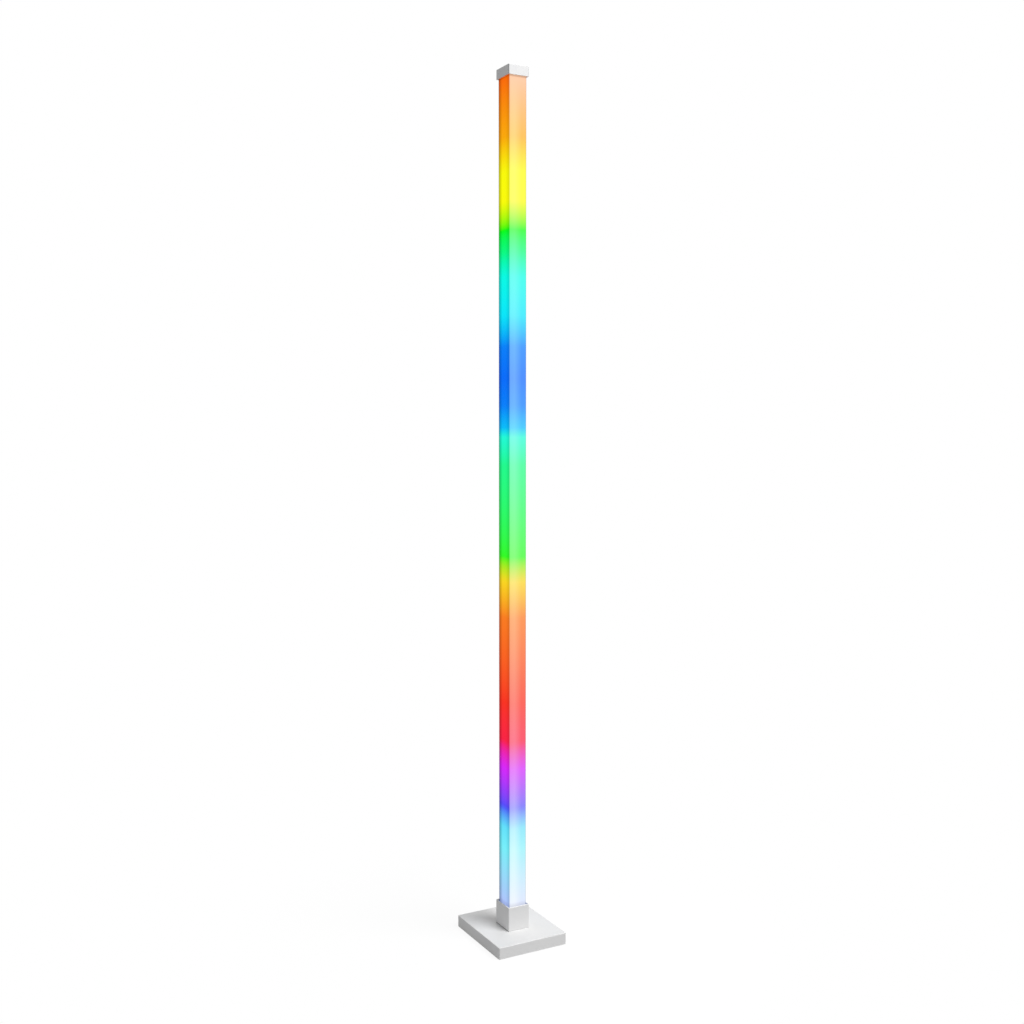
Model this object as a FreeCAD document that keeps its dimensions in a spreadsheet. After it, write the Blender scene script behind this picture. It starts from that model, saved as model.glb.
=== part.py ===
"""Corner floor lamp: a light column on a weighted base.

Millimetres, +Z up. The origin is on the floor under the column. The front of the lamp faces -Y, and +Y is the
back, where the base reaches out further and where the inlet, the button and the column's channel are.
"""
import FreeCAD, Part
import math
import os
import re
import Sketcher
from FreeCAD import Vector

SIZES = {
    # Overall
    "lamp_height": 1420.0,
    # Base
    "base_width": 125.0,
    "base_depth": 150.0,
    "base_setback": 5.0,
    "base_corner": 2.0,
    "base_edge": 1.2,
    "base_headroom": 1.8,
    "cover_wall": 1.5,
    "cover_lift": 1.0,
    "bottom_plate_thickness": 1.2,
    "bottom_plate_gap": 0.3,
    "weight_gap": 0.4,
    # Feet and the screws of the bottom plate
    "foot_height": 1.5,
    "foot_diameter": 14.0,
    "foot_round": 0.4,
    "foot_inset": 15.0,
    "plate_screw_diameter": 3.0,
    "plate_screw_length": 8.0,
    "plate_screw_head_diameter": 5.6,
    "plate_screw_head_height": 1.0,
    "plate_screw_step": 12.0,
    "screw_socket_diameter": 2.4,
    "screw_socket_depth": 0.6,
    # Electronics bay, a pocket in the back of the weight
    "bay_side_room": 10.0,
    "bay_front_room": 7.0,
    "wire_slot_width": 10.0,
    # Collar
    "collar_height": 40.0,
    "collar_gap": 1.7,
    "collar_wall": 2.0,
    "collar_floor": 4.0,
    "collar_corner": 1.5,
    "collar_edge": 0.5,
    # Bolts that clamp the collar to the weight
    "bolt_diameter": 4.0,
    "bolt_head_diameter": 7.0,
    "bolt_head_height": 4.0,
    "bolt_socket_diameter": 3.4,
    "bolt_socket_depth": 2.0,
    "bolt_spacing_x": 22.0,
    "bolt_spacing_y": 25.0,
    "washer_diameter": 9.0,
    "washer_thickness": 0.8,
    "bolt_head_gap": 0.3,
    "bolt_end_gap": 0.6,
    # Wire passage through the cover and the collar's floor
    "wire_hole_diameter": 10.0,
    "wire_hole_y": 11.0,
    "grommet_bore": 6.4,
    "grommet_gap": 0.1,
    # Sleeve between collar and column, and the grub screws behind it
    "sleeve_recess": 4.0,
    "sleeve_gap": 0.1,
    "set_screw_diameter": 4.0,
    "set_screw_socket_diameter": 2.2,
    "set_screw_socket_depth": 1.6,
    "set_screw_low": 12.5,
    "set_screw_high": 28.5,
    # Column
    "pole_width": 31.5,
    "pole_depth": 37.0,
    "pole_corner": 2.5,
    "channel_lip": 7.0,
    "channel_back": 1.6,
    "channel_side": 1.4,
    "channel_corner": 1.0,
    "screw_port_diameter": 5.6,
    "screw_port_spacing": 17.0,
    "screw_port_bond": 0.5,
    "diffuser_wall": 1.8,
    "diffuser_seam": 0.15,
    "snap_gap": 0.1,
    "barb_height": 0.5,
    "barb_width": 1.0,
    "barb_setback": 2.5,
    # Light strip
    "strip_width": 10.0,
    "strip_thickness": 0.4,
    "strip_margin_low": 36.0,
    "strip_margin_high": 16.0,
    "led_size": 5.0,
    "led_height": 1.6,
    "led_lens_diameter": 4.0,
    "led_lens_depth": 0.5,
    "led_pitch": 33.3,
    # End plugs of the column and their screws
    "plug_flange": 3.0,
    "plug_tongue": 12.0,
    "plug_gap": 0.2,
    "plug_wall": 2.0,
    "plug_back_room": 3.1,
    "plug_notch_width": 9.0,
    "plug_notch_depth": 5.0,
    "plug_screw_diameter": 3.0,
    "plug_screw_length": 10.0,
    "plug_screw_head_diameter": 5.4,
    "plug_screw_head_height": 1.8,
    "plug_screw_head_gap": 0.1,
    # Cap
    "cap_height": 15.5,
    "cap_gap": 0.6,
    "cap_wall": 2.0,
    "cap_top": 2.0,
    "cap_corner": 1.5,
    "cap_edge": 0.6,
    "cap_screw_diameter": 3.0,
    "cap_screw_length": 5.0,
    "cap_screw_head_diameter": 5.5,
    "cap_screw_head_height": 1.7,
    "cap_screw_drop": 10.0,
    # Controller board
    "board_width": 64.0,
    "board_depth": 36.0,
    "board_thickness": 1.6,
    "board_back_gap": 1.0,
    "standoff_height": 3.0,
    "standoff_diameter": 5.0,
    "board_hole_inset": 4.0,
    "board_screw_diameter": 2.5,
    "board_screw_end_gap": 0.3,
    "board_screw_head_diameter": 4.4,
    "board_screw_head_height": 1.6,
    # Low-voltage inlet; its side room runs from the board's left edge to the inlet's axis
    "inlet_side_room": 12.0,
    "inlet_body_width": 9.0,
    "inlet_body_height": 9.4,
    "inlet_body_length": 13.0,
    "inlet_barrel_diameter": 8.6,
    "inlet_barrel_recess": 0.2,
    "inlet_bore_diameter": 6.3,
    "inlet_bore_depth": 9.5,
    "inlet_pin_diameter": 2.0,
    "inlet_pin_recess": 1.0,
    # Push button and its switch; the side room runs from the board's right edge to the button's axis
    "button_side_room": 12.0,
    "button_diameter": 7.0,
    "button_stand_out": 1.5,
    "button_travel": 1.2,
    "button_flange_lip": 1.0,
    "button_flange_thickness": 1.2,
    "button_hole_gap": 0.2,
    "button_stop_gap": 0.1,
    "button_stem_diameter": 3.0,
    "button_stem_length": 3.0,
    "button_round": 0.4,
    "plunger_diameter": 3.5,
    "plunger_seat": 1.6,
    "plunger_gap": 0.1,
    "switch_gap": 0.6,
    "switch_wall": 1.4,
    "switch_floor": 1.6,
    # Parts on the board; each side room runs from the board's left edge for the chip and from its right edge
    # for the others, and each back room from its back edge, to the part's middle
    "chip_size": 7.0,
    "chip_height": 1.4,
    "chip_side_room": 16.0,
    "chip_back_room": 23.5,
    "regulator_width": 6.6,
    "regulator_depth": 6.1,
    "regulator_height": 2.3,
    "regulator_side_room": 22.5,
    "regulator_back_room": 9.5,
    "capacitor_diameter": 8.0,
    "capacitor_headroom": 1.7,
    "capacitor_round": 0.8,
    "capacitor_side_room": 33.0,
    "capacitor_back_room": 8.0,
    "radio_width": 16.0,
    "radio_depth": 10.0,
    "radio_height": 0.8,
    "radio_can_height": 1.6,
    "radio_can_margin": 1.5,
    "radio_side_room": 15.0,
    "radio_back_room": 25.5,
    # Connector and wires to the column
    "connector_width": 9.8,
    "connector_length": 7.0,
    "connector_height": 5.8,
    "connector_wall": 0.8,
    "connector_cavity": 4.0,
    "connector_back_room": 26.0,
    "harness_plug_length": 8.0,
    "harness_plug_gap": 0.1,
    "wire_diameter": 1.3,
    "wire_spacing": 2.0,
    "wire_bend": 5.0,
    "wire_lean_bend": 20.0,
    "wire_crossing": 20.0,
    "wire_landing": 6.0,
    # Fits
    "thread_gap": 0.05,
    "hole_gap": 0.2,
}

# Places and sizes that follow from the driving sizes, in the same words
DERIVED = {
    "plate_top": "foot_height + bottom_plate_thickness",
    "board_low": "plate_top + standoff_height",
    "board_top": "board_low + board_thickness",
    "inlet_z": "board_top + inlet_body_height / 2",
    "cover_ceiling": "board_top + inlet_body_height + base_headroom",
    "base_height": "cover_ceiling + cover_wall",
    "cover_inner_width": "base_width - 2 * cover_wall",
    "cover_inner_depth": "base_depth - 2 * cover_wall",
    "base_back": "base_setback + base_depth / 2",
    "cover_back": "base_back - cover_wall",
    "plate_width": "cover_inner_width - 2 * bottom_plate_gap",
    "plate_depth": "cover_inner_depth - 2 * bottom_plate_gap",
    "foot_spacing_x": "base_width - 2 * foot_inset",
    "foot_spacing_y": "base_depth - 2 * foot_inset",
    "weight_width": "cover_inner_width - 2 * weight_gap",
    "weight_depth": "cover_inner_depth - 2 * weight_gap",
    "weight_height": "cover_ceiling - plate_top",
    "plate_screw_spacing_x": "(bay_width + weight_width) / 2",
    "plate_screw_spacing_y": "foot_spacing_y - foot_diameter - 2 * plate_screw_step",
    "board_back": "cover_back - board_back_gap",
    "board_y": "board_back - board_depth / 2",
    "board_hole_spacing_x": "board_width - 2 * board_hole_inset",
    "board_hole_spacing_y": "board_depth - 2 * board_hole_inset",
    "board_screw_length": "board_top - plate_top - board_screw_end_gap",
    "bay_width": "board_width + 2 * bay_side_room",
    "bay_front": "board_back - board_depth - bay_front_room",
    "wire_slot_front": "wire_hole_y - wire_slot_width / 2",
    "bolt_head_low": "plate_top + bolt_head_gap",
    "washer_low": "bolt_head_low + bolt_head_height",
    "washer_top": "washer_low + washer_thickness",
    "bolt_length": "pole_seat - bolt_end_gap - washer_low",
    "collar_inner_width": "pole_width + 2 * collar_gap",
    "collar_inner_depth": "pole_depth + 2 * collar_gap",
    "collar_width": "collar_inner_width + 2 * collar_wall",
    "collar_depth": "collar_inner_depth + 2 * collar_wall",
    "sleeve_height": "collar_height - collar_floor - sleeve_recess",
    "set_screw_length": "(collar_depth - pole_depth) / 2",
    "pole_seat": "base_height + collar_floor",
    "pole_low": "pole_seat + plug_flange",
    "pole_high": "lamp_height - cap_top - plug_flange",
    "pole_length": "pole_high - pole_low",
    "channel_front": "pole_depth / 2 - channel_lip",
    "channel_bed": "pole_depth / 2 - channel_back",
    "lip_width": "pole_width - 2 * (diffuser_wall + snap_gap)",
    "channel_inner_width": "lip_width - 2 * channel_side",
    "screw_port_y": "channel_bed + screw_port_bond - screw_port_diameter / 2",
    "diffuser_front": "-pole_depth / 2",
    "diffuser_back": "channel_bed - diffuser_seam",
    "diffuser_inner_width": "pole_width - 2 * diffuser_wall",
    "barb_y": "channel_front + barb_setback",
    "strip_low": "pole_low + strip_margin_low",
    "strip_high": "pole_high - strip_margin_high",
    "strip_front": "channel_bed - strip_thickness",
    "led_first": "strip_low + led_pitch / 2",
    "tongue_width": "diffuser_inner_width - 2 * plug_gap",
    "tongue_front": "diffuser_front + diffuser_wall + plug_gap",
    "tongue_back": "channel_front - plug_back_room",
    "tongue_y": "(tongue_front + tongue_back) / 2",
    "tongue_depth": "tongue_back - tongue_front",
    "plug_counterbore": "plug_screw_head_height + plug_screw_head_gap",
    "cap_inner_width": "pole_width + 2 * cap_gap",
    "cap_inner_depth": "pole_depth + 2 * cap_gap",
    "cap_width": "cap_inner_width + 2 * cap_wall",
    "cap_depth": "cap_inner_depth + 2 * cap_wall",
    "cap_low": "lamp_height - cap_height",
    "cap_screw_z": "lamp_height - cap_screw_drop",
    "inlet_x": "board_width / 2 - inlet_side_room",
    "inlet_face": "base_back - inlet_barrel_recess",
    "inlet_body_back": "cover_back - hole_gap",
    "inlet_bore_end": "inlet_face - inlet_bore_depth",
    "button_x": "board_width / 2 - button_side_room",
    "button_face": "base_back + button_stand_out",
    "button_shoulder": "cover_back - button_stop_gap",
    "button_stem_back": "button_shoulder - button_flange_thickness",
    "plunger_back": "button_stem_back - button_stem_length",
    "switch_face": "plunger_back - button_travel - switch_gap",
    "plunger_front": "switch_face - plunger_seat",
    "switch_bore_end": "plunger_front - button_travel - plunger_gap",
    "switch_front": "switch_bore_end - switch_floor",
    "switch_width": "plunger_diameter + 2 * (plunger_gap + switch_wall)",
    "switch_height": "inlet_z - board_top + plunger_diameter / 2 + switch_wall",
    "chip_x": "chip_side_room - board_width / 2",
    "chip_y": "board_back - chip_back_room",
    "regulator_x": "board_width / 2 - regulator_side_room",
    "regulator_y": "board_back - regulator_back_room",
    "capacitor_y": "board_back - capacitor_back_room",
    "capacitor_height": "cover_ceiling - board_top - capacitor_headroom",
    "radio_x": "board_width / 2 - radio_side_room",
    "radio_y": "board_back - radio_back_room",
    "connector_front": "board_back - connector_back_room - connector_length",
    "connector_inner_width": "connector_width - 2 * connector_wall",
    "connector_inner_height": "connector_height - 2 * connector_wall",
    "connector_axis": "board_top + connector_height / 2",
    "harness_plug_back": "connector_front + connector_cavity - harness_plug_gap",
    "harness_plug_front": "harness_plug_back - harness_plug_length",
    "harness_plug_width": "connector_inner_width - 2 * harness_plug_gap",
    "harness_plug_height": "connector_inner_height - 2 * harness_plug_gap",
    "wire_strip_y": "strip_front - wire_diameter / 2",
    "wire_lean_low": "strip_low - wire_crossing",
    "wire_end": "strip_low + wire_landing",
}

doc = FreeCAD.newDocument("CornerFloorLamp")
sheet = doc.addObject("Spreadsheet::Sheet", "Sizes")
for row, (alias, size) in enumerate(SIZES.items(), start=1):
    sheet.set(f"A{row}", alias)
    sheet.set(f"B{row}", str(size))
    sheet.setAlias(f"B{row}", alias)
doc.recompute()


def expression(text):
    """Writes a size, given in the words above, as an expression on the sheet's cells."""
    def cell(match):
        word = match.group(0)
        if word in DERIVED:
            return f"({expression(DERIVED[word])})"
        return f"Sizes.{word}" if word in SIZES else word
    return re.sub(r"[a-z_]+", cell, text)


def number(text):
    """The present value of a size that is given in words."""
    return float(sheet.evalExpression(expression(text)))


# Bodies, sketches and features

def new_body(label):
    body = doc.addObject("PartDesign::Body", label)
    body.Label = label
    body.AllowCompound = True
    return body


def new_sketch(body, role, x="0", y="0", z="0"):
    """A sketch on one of the body's own planes; x, y and z move it along the sketch's own axes."""
    sketch = body.newObject("Sketcher::SketchObject", f"{body.Label}_sketch")
    plane = next(item for item in body.Origin.OriginFeatures if item.Role == role)
    sketch.AttachmentSupport = [(plane, "")]
    sketch.MapMode = "FlatFace"
    for axis, place in (("x", x), ("y", y), ("z", z)):
        sketch.setExpression(f"AttachmentOffset.Base.{axis}", expression(place))
    return sketch


def add_loop(sketch, corners):
    """Straight sides from corner to corner, joined at their ends. Returns the sides' numbers."""
    count = len(corners)
    sides = [Part.LineSegment(corners[i], corners[(i + 1) % count]) for i in range(count)]
    numbers = sketch.addGeometry(sides, False)
    for i in range(count):
        sketch.addConstraint(Sketcher.Constraint("Coincident", numbers[i], 2, numbers[(i + 1) % count], 1))
    return numbers


def add_rectangle(sketch, width, height):
    """A rectangle centred on the sketch's origin."""
    half_w = number(width) / 2
    half_h = number(height) / 2
    low, right, high, left = add_loop(sketch, [
        Vector(-half_w, -half_h),
        Vector(half_w, -half_h),
        Vector(half_w, half_h),
        Vector(-half_w, half_h),
    ])
    sketch.addConstraint([
        Sketcher.Constraint("Horizontal", low),
        Sketcher.Constraint("Horizontal", high),
        Sketcher.Constraint("Vertical", right),
        Sketcher.Constraint("Vertical", left),
        Sketcher.Constraint("Symmetric", low, 1, right, 2, -1, 1),
    ])
    across = sketch.addConstraint(Sketcher.Constraint("DistanceX", low, 1, low, 2, 2 * half_w))
    up = sketch.addConstraint(Sketcher.Constraint("DistanceY", right, 1, right, 2, 2 * half_h))
    bind(sketch, across, width)
    bind(sketch, up, height)


def add_circle(sketch, diameter, x="0", y="0", side_x=0, side_y=0, construction=False):
    """A circle at a distance x and y from the sketch's origin, on the side that side_x and side_y give."""
    centre = Vector(side_x * number(x), side_y * number(y))
    circle = sketch.addGeometry(Part.Circle(centre, Vector(0, 0, 1), number(diameter) / 2), construction)
    bind(sketch, sketch.addConstraint(Sketcher.Constraint("Diameter", circle, number(diameter))), diameter)
    for side, kind, axis, distance in ((side_x, "DistanceX", -2, x), (side_y, "DistanceY", -1, y)):
        if side == 0:
            sketch.addConstraint(Sketcher.Constraint("PointOnObject", circle, 3, axis))
            continue
        ends = (-1, 1, circle, 3) if side > 0 else (circle, 3, -1, 1)
        bind(sketch, sketch.addConstraint(Sketcher.Constraint(kind, *ends, number(distance))), distance)
    return circle


def add_hexagon(sketch, diameter, x="0", y="0", side_x=0, side_y=0):
    """A regular hexagon, for a screw's socket. The diameter is across its corners."""
    circle = add_circle(sketch, diameter, x, y, side_x, side_y, construction=True)
    centre = Vector(side_x * number(x), side_y * number(y))
    radius = number(diameter) / 2
    turns = [math.radians(60 * i) for i in range(6)]
    sides = add_loop(sketch, [centre + Vector(math.cos(turn), math.sin(turn)) * radius for turn in turns])
    for side in sides:
        sketch.addConstraint(Sketcher.Constraint("PointOnObject", side, 1, circle))
    for side in sides[1:]:
        sketch.addConstraint(Sketcher.Constraint("Equal", sides[0], side))
    sketch.addConstraint(Sketcher.Constraint("Horizontal", sides[1]))


def add_grid(add, sketch, diameter, spacing_x, spacing_y):
    """Four circles or hexagons on the corners of a rectangle centred on the sketch's origin."""
    for side_x in (-1, 1):
        for side_y in (-1, 1):
            add(sketch, diameter, f"({spacing_x}) / 2", f"({spacing_y}) / 2", side_x, side_y)


def bind(sketch, constraint, size):
    sketch.setExpression(f"Constraints[{constraint}]", expression(size))


def pad(body, sketch, length, reverse=False):
    feature = body.newObject("PartDesign::Pad", f"{body.Label}_pad")
    feature.Profile = sketch
    feature.setExpression("Length", expression(length))
    feature.Reversed = reverse
    sketch.Visibility = False
    doc.recompute()
    return feature


def pocket(body, sketch, length, reverse=False):
    """Cuts along the sketch's positive normal, or the other way where reverse is set."""
    before = body.Shape.Volume
    feature = body.newObject("PartDesign::Pocket", f"{body.Label}_pocket")
    feature.Profile = sketch
    feature.setExpression("Length", expression(length))
    feature.Reversed = not reverse
    sketch.Visibility = False
    doc.recompute()
    if body.Shape.Volume > before - 1e-6:
        raise RuntimeError(f"{body.Label}: {feature.Name} cuts nothing")
    return feature


def edges_where(shape, test):
    return [f"Edge{i}" for i, edge in enumerate(shape.Edges, start=1) if test(edge)]


def dress(body, kind, size, test):
    """Adds a fillet or a chamfer on the edges of the body's tip that pass the test."""
    base = body.Tip
    names = edges_where(base.Shape, test)
    feature = body.newObject(f"PartDesign::{kind}", f"{body.Label}_{kind.lower()}")
    feature.Base = (base, names)
    feature.setExpression("Radius" if kind == "Fillet" else "Size", expression(size))
    doc.recompute()
    return feature


def is_upright_at(width, depth, y="0"):
    """True for the upright edges at the corners of a rectangle that is centred on x = 0 and the given y."""
    half_w = number(width) / 2
    half_d = number(depth) / 2
    middle = number(y)

    def test(edge):
        box = edge.BoundBox
        upright = box.XLength < 1e-6 and box.YLength < 1e-6
        return upright and abs(abs(box.XMin) - half_w) < 1e-6 and abs(abs(box.YMin - middle) - half_d) < 1e-6
    return test


def is_level_at(height):
    """True for the edges that lie at a height."""
    z = number(height)

    def test(edge):
        return abs(edge.BoundBox.ZMin - z) < 1e-6 and abs(edge.BoundBox.ZMax - z) < 1e-6
    return test


def block(label, size, low):
    """A plain block of the given size, with its lowest corner at the given place."""
    box = doc.addObject("Part::Box", label)
    for name, text in zip(("Length", "Width", "Height"), size):
        box.setExpression(name, expression(text))
    for axis, text in zip("xyz", low):
        box.setExpression(f"Placement.Base.{axis}", expression(text))
    return box


def rod(label, diameter, length, base, along="Z"):
    """A cylinder from a base point along +Z, or along +Y or -Y."""
    cylinder = doc.addObject("Part::Cylinder", label)
    cylinder.setExpression("Radius", expression(f"({diameter}) / 2"))
    cylinder.setExpression("Height", expression(length))
    turns = {"Z": 0, "+Y": -90, "-Y": 90}
    cylinder.Placement.Rotation = FreeCAD.Rotation(Vector(1, 0, 0), turns[along])
    for axis, text in zip("xyz", base):
        cylinder.setExpression(f"Placement.Base.{axis}", expression(text))
    return cylinder


def fuse(label, *shapes):
    feature = doc.addObject("Part::MultiFuse", label)
    feature.Shapes = list(shapes)
    feature.Refine = True
    return feature


def cut(label, base, tool):
    feature = doc.addObject("Part::Cut", label)
    feature.Base = base
    feature.Tool = tool
    return feature


NODES = []


def node(feature, label):
    """Names a finished sub-part and lists it for writing."""
    feature.Label = label
    NODES.append(feature)
    return feature


# Base

def make_base_cover():
    body = new_body("base_cover")
    outline = new_sketch(body, "XY_Plane", y="base_setback", z="cover_lift")
    add_rectangle(outline, "base_width", "base_depth")
    pad(body, outline, "base_height - cover_lift")
    dress(body, "Fillet", "base_corner", is_upright_at("base_width", "base_depth", "base_setback"))
    dress(body, "Fillet", "base_edge", is_level_at("base_height"))
    hollow = new_sketch(body, "XY_Plane", y="base_setback", z="cover_lift")
    add_rectangle(hollow, "cover_inner_width", "cover_inner_depth")
    pocket(body, hollow, "cover_ceiling - cover_lift")
    top_holes = new_sketch(body, "XY_Plane", z="cover_ceiling")
    add_grid(add_circle, top_holes, "bolt_diameter + 2 * hole_gap", "bolt_spacing_x", "bolt_spacing_y")
    add_circle(top_holes, "wire_hole_diameter", y="wire_hole_y", side_y=1)
    pocket(body, top_holes, "cover_wall")
    back_holes = new_sketch(body, "XZ_Plane", z="-base_back")
    add_circle(back_holes, "inlet_barrel_diameter + 2 * hole_gap", "inlet_x", "inlet_z", -1, 1)
    add_circle(back_holes, "button_diameter + 2 * button_hole_gap", "button_x", "inlet_z", 1, 1)
    pocket(body, back_holes, "cover_wall")
    return node(body, "base_cover")


def make_base_weight():
    body = new_body("base_weight")
    outline = new_sketch(body, "XY_Plane", y="base_setback", z="plate_top")
    add_rectangle(outline, "weight_width", "weight_depth")
    pad(body, outline, "weight_height")
    bay = new_sketch(body, "XY_Plane", y="(bay_front + base_back) / 2", z="plate_top")
    add_rectangle(bay, "bay_width", "base_back - bay_front")
    pocket(body, bay, "weight_height")
    slot = new_sketch(body, "XY_Plane", y="(wire_slot_front + base_back) / 2", z="plate_top")
    add_rectangle(slot, "wire_slot_width", "base_back - wire_slot_front")
    pocket(body, slot, "weight_height")
    bolt_holes = new_sketch(body, "XY_Plane", z="plate_top")
    add_grid(add_circle, bolt_holes, "bolt_diameter + 2 * hole_gap", "bolt_spacing_x", "bolt_spacing_y")
    pocket(body, bolt_holes, "weight_height")
    counterbores = new_sketch(body, "XY_Plane", z="plate_top")
    add_grid(add_circle, counterbores, "washer_diameter + 2 * hole_gap", "bolt_spacing_x", "bolt_spacing_y")
    pocket(body, counterbores, "washer_top - plate_top")
    screw_holes = new_sketch(body, "XY_Plane", y="base_setback", z="plate_top")
    add_grid(add_circle, screw_holes, "plate_screw_diameter + 2 * thread_gap",
             "plate_screw_spacing_x", "plate_screw_spacing_y")
    pocket(body, screw_holes, "plate_screw_length")
    return node(body, "base_weight")


def make_base_bottom_plate():
    body = new_body("base_bottom_plate")
    outline = new_sketch(body, "XY_Plane", y="base_setback", z="foot_height")
    add_rectangle(outline, "plate_width", "plate_depth")
    add_grid(add_circle, outline, "plate_screw_diameter + 2 * hole_gap",
             "plate_screw_spacing_x", "plate_screw_spacing_y")
    pad(body, outline, "bottom_plate_thickness")
    return node(body, "base_bottom_plate")


def make_foot_pads():
    body = new_body("foot_pads")
    discs = new_sketch(body, "XY_Plane", y="base_setback")
    add_grid(add_circle, discs, "foot_diameter", "foot_spacing_x", "foot_spacing_y")
    pad(body, discs, "foot_height")
    dress(body, "Fillet", "foot_round", is_level_at("0"))
    return node(body, "foot_pads")


def make_screw_grid(label, y, spacing_x, spacing_y, seat, heads, shanks, socket, down=False):
    """Four upright screws; heads, shanks and socket are each a diameter and a length.

    The shanks run up from the seat with the heads below it, or down from it where down is set.
    """
    body = new_body(label)
    for (diameter, length), reverse in ((heads, not down), (shanks, down)):
        circles = new_sketch(body, "XY_Plane", y=y, z=seat)
        add_grid(add_circle, circles, diameter, spacing_x, spacing_y)
        pad(body, circles, length, reverse)
    outer_face = f"{seat} + {heads[1]}" if down else f"{seat} - {heads[1]}"
    recesses = new_sketch(body, "XY_Plane", y=y, z=outer_face)
    add_grid(add_hexagon, recesses, socket[0], spacing_x, spacing_y)
    pocket(body, recesses, socket[1], reverse=down)
    return node(body, label)


def make_bottom_plate_screws():
    return make_screw_grid(
        "bottom_plate_screws", "base_setback", "plate_screw_spacing_x", "plate_screw_spacing_y",
        "foot_height",
        heads=("plate_screw_head_diameter", "plate_screw_head_height"),
        shanks=("plate_screw_diameter", "plate_screw_length"),
        socket=("screw_socket_diameter", "screw_socket_depth"))


# Collar

def make_pole_collar():
    body = new_body("pole_collar")
    outline = new_sketch(body, "XY_Plane", z="base_height")
    add_rectangle(outline, "collar_width", "collar_depth")
    pad(body, outline, "collar_height")
    dress(body, "Fillet", "collar_corner", is_upright_at("collar_width", "collar_depth"))
    dress(body, "Chamfer", "collar_edge", is_level_at("base_height + collar_height"))
    socket = new_sketch(body, "XY_Plane", z="pole_seat")
    add_rectangle(socket, "collar_inner_width", "collar_inner_depth")
    pocket(body, socket, "collar_height - collar_floor")
    floor_holes = new_sketch(body, "XY_Plane", z="base_height")
    add_grid(add_circle, floor_holes, "bolt_diameter + 2 * thread_gap", "bolt_spacing_x", "bolt_spacing_y")
    add_circle(floor_holes, "wire_hole_diameter", y="wire_hole_y", side_y=1)
    pocket(body, floor_holes, "collar_floor")
    screw_holes = new_sketch(body, "XZ_Plane", z="-collar_depth / 2")
    add_set_screw_pair(add_circle, screw_holes, "set_screw_diameter + 2 * thread_gap")
    pocket(body, screw_holes, "collar_wall")
    return node(body, "pole_collar")


def add_set_screw_pair(add, sketch, diameter):
    for height in ("set_screw_low", "set_screw_high"):
        add(sketch, diameter, y=f"base_height + {height}", side_y=1)


def make_collar_sleeve():
    body = new_body("collar_sleeve")
    tube = new_sketch(body, "XY_Plane", z="pole_seat")
    add_rectangle(tube, "collar_inner_width - 2 * sleeve_gap", "collar_inner_depth - 2 * sleeve_gap")
    add_rectangle(tube, "pole_width + 2 * sleeve_gap", "pole_depth + 2 * sleeve_gap")
    pad(body, tube, "sleeve_height")
    screw_holes = new_sketch(body, "XZ_Plane", z="-collar_inner_depth / 2")
    add_set_screw_pair(add_circle, screw_holes, "set_screw_diameter + 2 * hole_gap")
    pocket(body, screw_holes, "collar_gap")
    return node(body, "collar_sleeve")


def make_collar_set_screws():
    body = new_body("collar_set_screws")
    shanks = new_sketch(body, "XZ_Plane", z="-collar_depth / 2")
    add_set_screw_pair(add_circle, shanks, "set_screw_diameter")
    pad(body, shanks, "set_screw_length")
    sockets = new_sketch(body, "XZ_Plane", z="-collar_depth / 2")
    add_set_screw_pair(add_hexagon, sockets, "set_screw_socket_diameter")
    pocket(body, sockets, "set_screw_socket_depth")
    return node(body, "collar_set_screws")


def make_collar_bolts():
    return make_screw_grid(
        "collar_bolts", "0", "bolt_spacing_x", "bolt_spacing_y", "washer_low",
        heads=("bolt_head_diameter", "bolt_head_height"),
        shanks=("bolt_diameter", "bolt_length"),
        socket=("bolt_socket_diameter", "bolt_socket_depth"))


def make_ring_grid(label, outer, bore, y, spacing_x, spacing_y, low, height):
    body = new_body(label)
    rings = new_sketch(body, "XY_Plane", y=y, z=low)
    add_grid(add_circle, rings, outer, spacing_x, spacing_y)
    add_grid(add_circle, rings, bore, spacing_x, spacing_y)
    pad(body, rings, height)
    return node(body, label)


def make_collar_bolt_washers():
    return make_ring_grid("collar_bolt_washers", "washer_diameter", "bolt_diameter + 2 * hole_gap", "0",
                          "bolt_spacing_x", "bolt_spacing_y", "washer_low", "washer_thickness")


def make_wire_grommet():
    body = new_body("wire_grommet")
    ring = new_sketch(body, "XY_Plane", z="cover_ceiling")
    add_circle(ring, "wire_hole_diameter - 2 * grommet_gap", y="wire_hole_y", side_y=1)
    add_circle(ring, "grommet_bore", y="wire_hole_y", side_y=1)
    pad(body, ring, "pole_seat - cover_ceiling")
    return node(body, "wire_grommet")


# Column

def add_port_pair(sketch, diameter):
    """Two circles on the axes of the channel's screw ports."""
    for side in (-1, 1):
        add_circle(sketch, diameter, "screw_port_spacing / 2", "screw_port_y", side, 1)


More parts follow.
